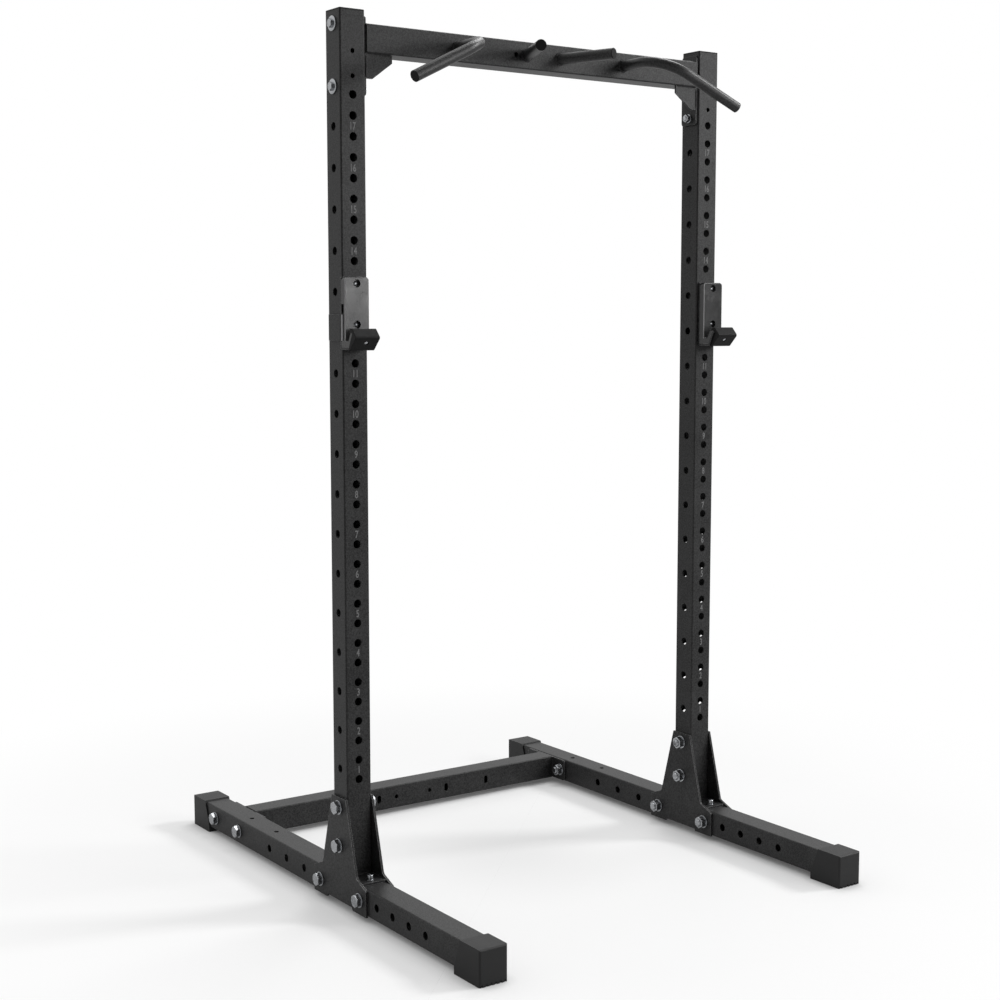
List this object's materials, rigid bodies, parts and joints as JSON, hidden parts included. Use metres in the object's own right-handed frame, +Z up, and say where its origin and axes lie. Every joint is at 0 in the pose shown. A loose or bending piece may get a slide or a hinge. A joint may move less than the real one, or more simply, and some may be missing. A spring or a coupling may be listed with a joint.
{
  "type": "squat rack",
  "caption": "Free-standing squat rack: drilled square-tube uprights on long feet, a rear crossmember, a multi-grip pull-up beam and roll-in bar hooks.",
  "frame": {"origin": "on the floor, midway between the feet and halfway along them", "axes": "+X to the rack's right seen from the front, -Y to the front, +Z up"},
  "size_m": [1.263, 1.514, 2.244],
  "materials": {
    "coated_steel": "fine-texture black powder coat",
    "zinc": "bright zinc plate",
    "cap_plastic": "moulded black plastic",
    "liner_plastic": "smooth grey-black bar liner",
    "lip_plastic": "moulded black plastic"
  },
  "bodies": {
    "frame": {"base_bolts": "zinc", "base_nuts": "zinc", "base_washers": "zinc", "beam_bolts": "zinc", "beam_nuts": "zinc", "beam_top_bolts": "zinc", "beam_top_washers": "zinc", "beam_washers": "zinc", "crossmember": "coated_steel", "crossmember_bolts": "zinc", "crossmember_nuts": "zinc", "crossmember_washers": "zinc", "gusset_bolts": "zinc", "gusset_nuts": "zinc", "gusset_washers": "zinc", "left_base_plate": "coated_steel", "left_beam_flange": "coated_steel", "left_crossmember_flange": "coated_steel", "left_foot": "coated_steel", "left_front_foot_cap": "cap_plastic", "left_inner_gusset": "coated_steel", "left_narrow_grip": "coated_steel", "left_narrow_grip_plug": "cap_plastic", "left_outer_gusset": "coated_steel", "left_rear_foot_cap": "cap_plastic", "left_upright": "coated_steel", "left_upright_cap": "cap_plastic", "left_web_plate": "coated_steel", "left_wide_grip": "coated_steel", "left_wide_grip_plug": "cap_plastic", "pullup_beam": "coated_steel", "right_base_plate": "coated_steel", "right_beam_flange": "coated_steel", "right_crossmember_flange": "coated_steel", "right_foot": "coated_steel", "right_front_foot_cap": "cap_plastic", "right_inner_gusset": "coated_steel", "right_narrow_grip": "coated_steel", "right_narrow_grip_plug": "cap_plastic", "right_outer_gusset": "coated_steel", "right_rear_foot_cap": "cap_plastic", "right_upright": "coated_steel", "right_upright_cap": "cap_plastic", "right_web_plate": "coated_steel", "right_wide_grip": "coated_steel", "right_wide_grip_plug": "cap_plastic"},
    "left_hook": {"left_hook_bracket": "coated_steel", "left_hook_liner": "liner_plastic", "left_hook_liner_screws": "zinc", "left_hook_lip_cap": "lip_plastic", "left_hook_lip_screw": "zinc", "left_hook_peg": "coated_steel"},
    "right_hook": {"right_hook_bracket": "coated_steel", "right_hook_liner": "liner_plastic", "right_hook_liner_screws": "zinc", "right_hook_lip_cap": "lip_plastic", "right_hook_lip_screw": "zinc", "right_hook_peg": "coated_steel"}
  },
  "joints": [
    {"name": "left_hook_roll", "type": "hinge", "parent": "frame", "child": "left_hook", "pos_m": [-0.575, -0.1595, 1.59], "axis": [0, 1, 0], "range_deg": [0, 90]},
    {"name": "right_hook_roll", "type": "hinge", "parent": "frame", "child": "right_hook", "pos_m": [0.575, -0.1595, 1.59], "axis": [0, -1, 0], "range_deg": [0, 90]}
  ]
}
